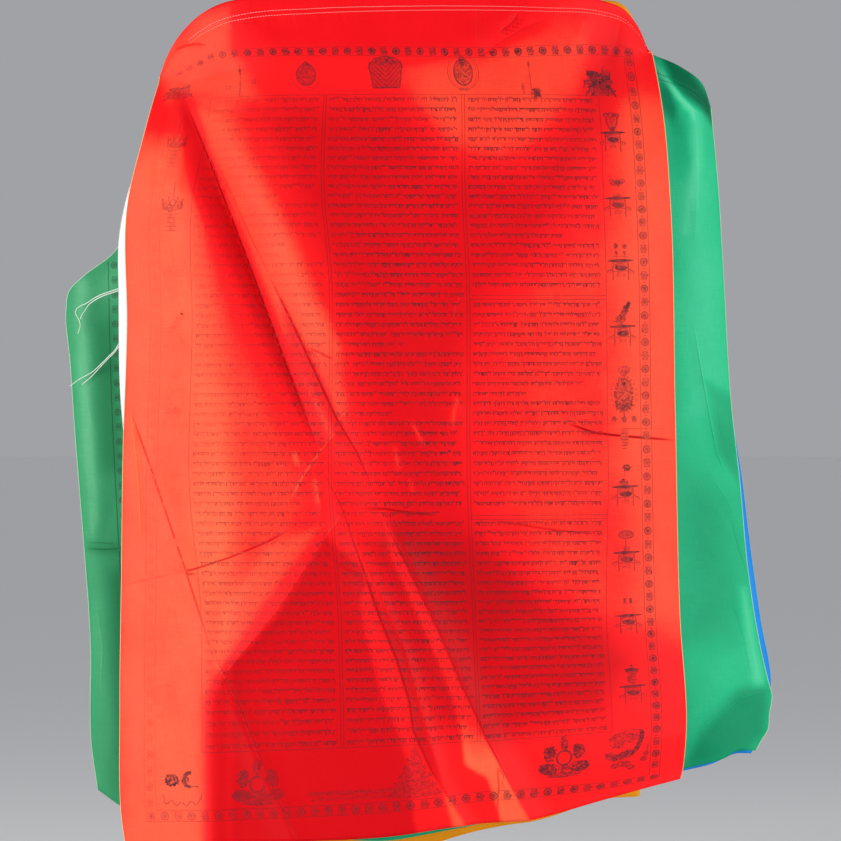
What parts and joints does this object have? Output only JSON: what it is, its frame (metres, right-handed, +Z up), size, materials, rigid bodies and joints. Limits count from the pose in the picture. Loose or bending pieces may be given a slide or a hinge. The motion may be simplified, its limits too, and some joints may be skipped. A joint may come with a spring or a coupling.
{
  "type": "tibetan prayer flag string",
  "caption": "Large printed prayer flags of thin cloth, sewn corner to corner, hanging folded in front of each other from their gathered top edges",
  "frame": {"origin": "middle of the top edge of the hanging flags, where they are held", "axes": "+X to the viewer's right across the front flag, +Y away from the viewer through the stack of flags, +Z up"},
  "size_m": [0.8656, 0.1574, 1.036],
  "materials": {
    "cloth_red": "thin plain-woven cloth with a slight sheen, block-printed in black",
    "cloth_green": "thin plain-woven cloth with a slight sheen",
    "cloth_white": "thin plain-woven cloth with a slight sheen",
    "cloth_blue": "thin plain-woven cloth with a slight sheen",
    "cloth_yellow": "thin plain-woven cloth with a slight sheen",
    "cloth_light_green": "thin plain-woven cloth with a slight sheen, block-printed in black",
    "thread_white": "spun sewing thread",
    "print_ink": "matte block-printing ink soaked into the cloth"
  },
  "bodies": {
    "root": {"flag_red": "cloth_red", "flag_green_right": "cloth_green", "flag_white": "cloth_white", "flag_blue": "cloth_blue", "flag_yellow": "cloth_yellow", "flag_green_left": "cloth_light_green", "thread_upper_long": "thread_white", "thread_upper_short": "thread_white", "thread_lower_long": "thread_white", "thread_lower_short": "thread_white"}
  },
  "joints": []
}
